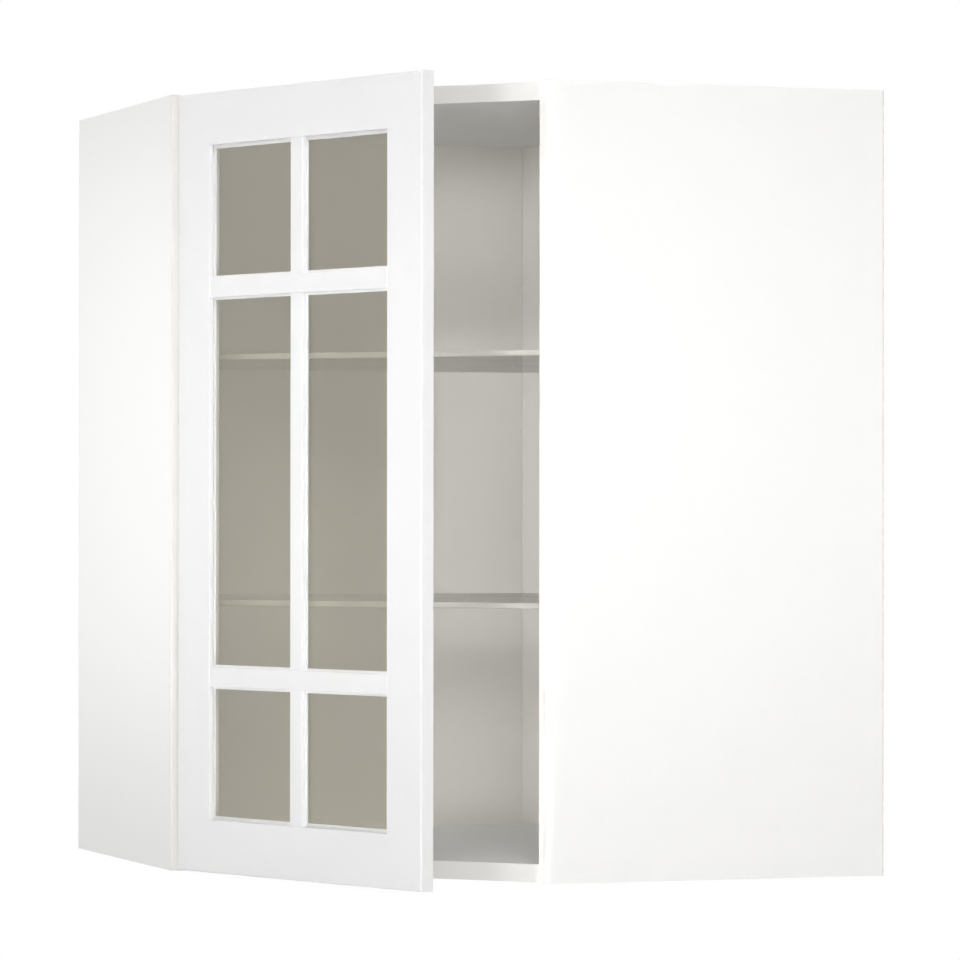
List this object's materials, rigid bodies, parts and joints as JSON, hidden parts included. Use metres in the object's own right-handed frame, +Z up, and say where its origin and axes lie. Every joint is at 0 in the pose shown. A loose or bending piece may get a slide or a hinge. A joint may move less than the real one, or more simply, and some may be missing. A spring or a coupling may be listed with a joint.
{
  "type": "corner wall cabinet",
  "caption": "White wall-hung corner kitchen cabinet with a diagonal front, a framed glass door with glazing bars on concealed hinges, and glass shelves.",
  "frame": {"origin": "where the room's vertical corner line meets the plane of the cabinet's underside", "axes": "+Z up; the walls are the planes x = 0 and y = 0, and the cabinet lies in -X and -Y, with its front facing -X and -Y"},
  "size_m": [0.667, 0.7482, 0.8],
  "materials": {
    "white_board": "white melamine on chipboard",
    "white_hardboard": "white lacquered hardboard",
    "white_band": "satin plastic edging",
    "door_white": "satin white paint on fibreboard",
    "bead_white": "satin",
    "door_glass": "tempered, clear",
    "shelf_glass": "tempered, ground edges",
    "dowel_wood": "plain beech",
    "steel": "zinc plated",
    "cast_zinc": "as cast",
    "bracket_steel": "galvanised",
    "hinge_steel": "nickel plated",
    "bumper_clear": "clear soft plastic"
  },
  "bodies": {
    "carcass": {"side_panel_left": "white_board", "side_panel_right": "white_board", "top_panel": "white_board", "bottom_panel": "white_board", "back_panel_left": "white_hardboard", "back_panel_right": "white_hardboard", "back_corner_panel": "white_board", "edge_band_left": "white_band", "edge_band_right": "white_band", "edge_band_top": "white_band", "edge_band_bottom": "white_band", "shelf_upper": "shelf_glass", "shelf_lower": "shelf_glass", "shelf_pins_upper": "steel", "shelf_pins_lower": "steel", "carcass_dowels": "dowel_wood", "cam_bolts": "steel", "cam_locks": "cast_zinc", "hanging_bracket_left": "bracket_steel", "hanging_bracket_right": "bracket_steel", "bracket_screws": "steel", "hinge_plate_upper": "hinge_steel", "hinge_plate_lower": "hinge_steel", "hinge_plate_screws": "steel", "hinge_arm_upper": "hinge_steel", "hinge_arm_lower": "hinge_steel", "hinge_arm_screws": "steel", "hinge_arm_pins": "steel"},
    "hinge_links": {"hinge_link_upper": "hinge_steel", "hinge_link_lower": "hinge_steel"},
    "door": {"door_stile_hinge": "door_white", "door_stile_free": "door_white", "door_rail_top": "door_white", "door_rail_bottom": "door_white", "frame_dowels": "dowel_wood", "glazing_bar_upper": "door_white", "glazing_bar_lower": "door_white", "mullion_top": "door_white", "mullion_middle": "door_white", "mullion_bottom": "door_white", "glazing_beads": "bead_white", "glass_pane": "door_glass", "glass_retainers": "bead_white", "hinge_cup_upper": "hinge_steel", "hinge_cup_lower": "hinge_steel", "hinge_cup_pins": "steel", "cup_screws": "steel", "door_bumpers": "bumper_clear"}
  },
  "joints": [
    {"name": "hinge_arm_pivot", "type": "hinge", "parent": "carcass", "child": "hinge_links", "pos_m": [-0.62627, -0.39132, 0.4], "axis": [0, 0, 1], "range_deg": [-24.75, 70.25]},
    {"name": "hinge_cup_pivot", "type": "hinge", "parent": "hinge_links", "child": "door", "pos_m": [-0.64803, -0.37893, 0.4], "axis": [0, 0, -1], "range_deg": [-49.5, 140.5]}
  ],
  "couplings": [
    {"joint": "hinge_arm_pivot", "follows": "hinge_cup_pivot", "ratio": 0.5}
  ]
}
